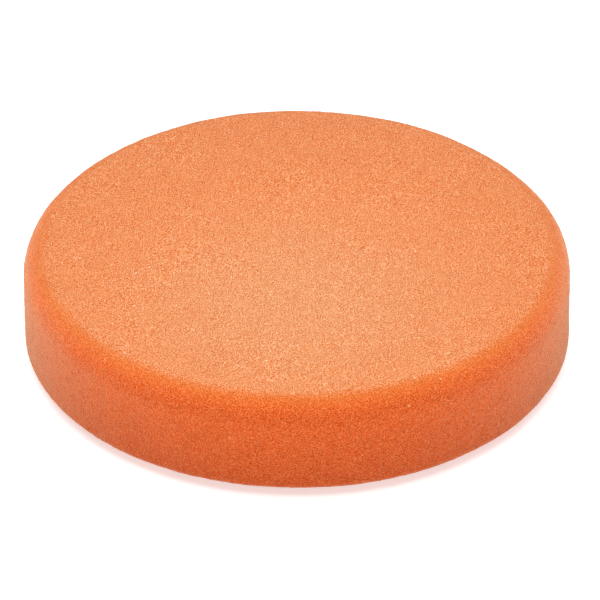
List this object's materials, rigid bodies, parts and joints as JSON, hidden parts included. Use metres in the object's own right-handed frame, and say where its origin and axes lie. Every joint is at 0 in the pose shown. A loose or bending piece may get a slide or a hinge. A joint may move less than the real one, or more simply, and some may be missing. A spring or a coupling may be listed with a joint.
{
  "type": "polishing pad",
  "caption": "Round foam polishing pad with a rounded working edge and a bonded loop-fabric backing for a machine polisher.",
  "frame": {"origin": "centre of the loop face, on the surface that the pad lies on", "axes": "+Z is the pad's own axis, from the loop face to the working face; X and Y are alike, because the pad is round"},
  "size_m": [0.15, 0.15, 0.03],
  "materials": {
    "foam": "matte",
    "adhesive": "satin",
    "backing_fabric": "matte",
    "loop_pile": "matte"
  },
  "bodies": {
    "root": {"foam_disc": "foam", "adhesive_film": "adhesive", "backing_fabric": "backing_fabric", "loop_pile": "loop_pile"}
  },
  "joints": []
}
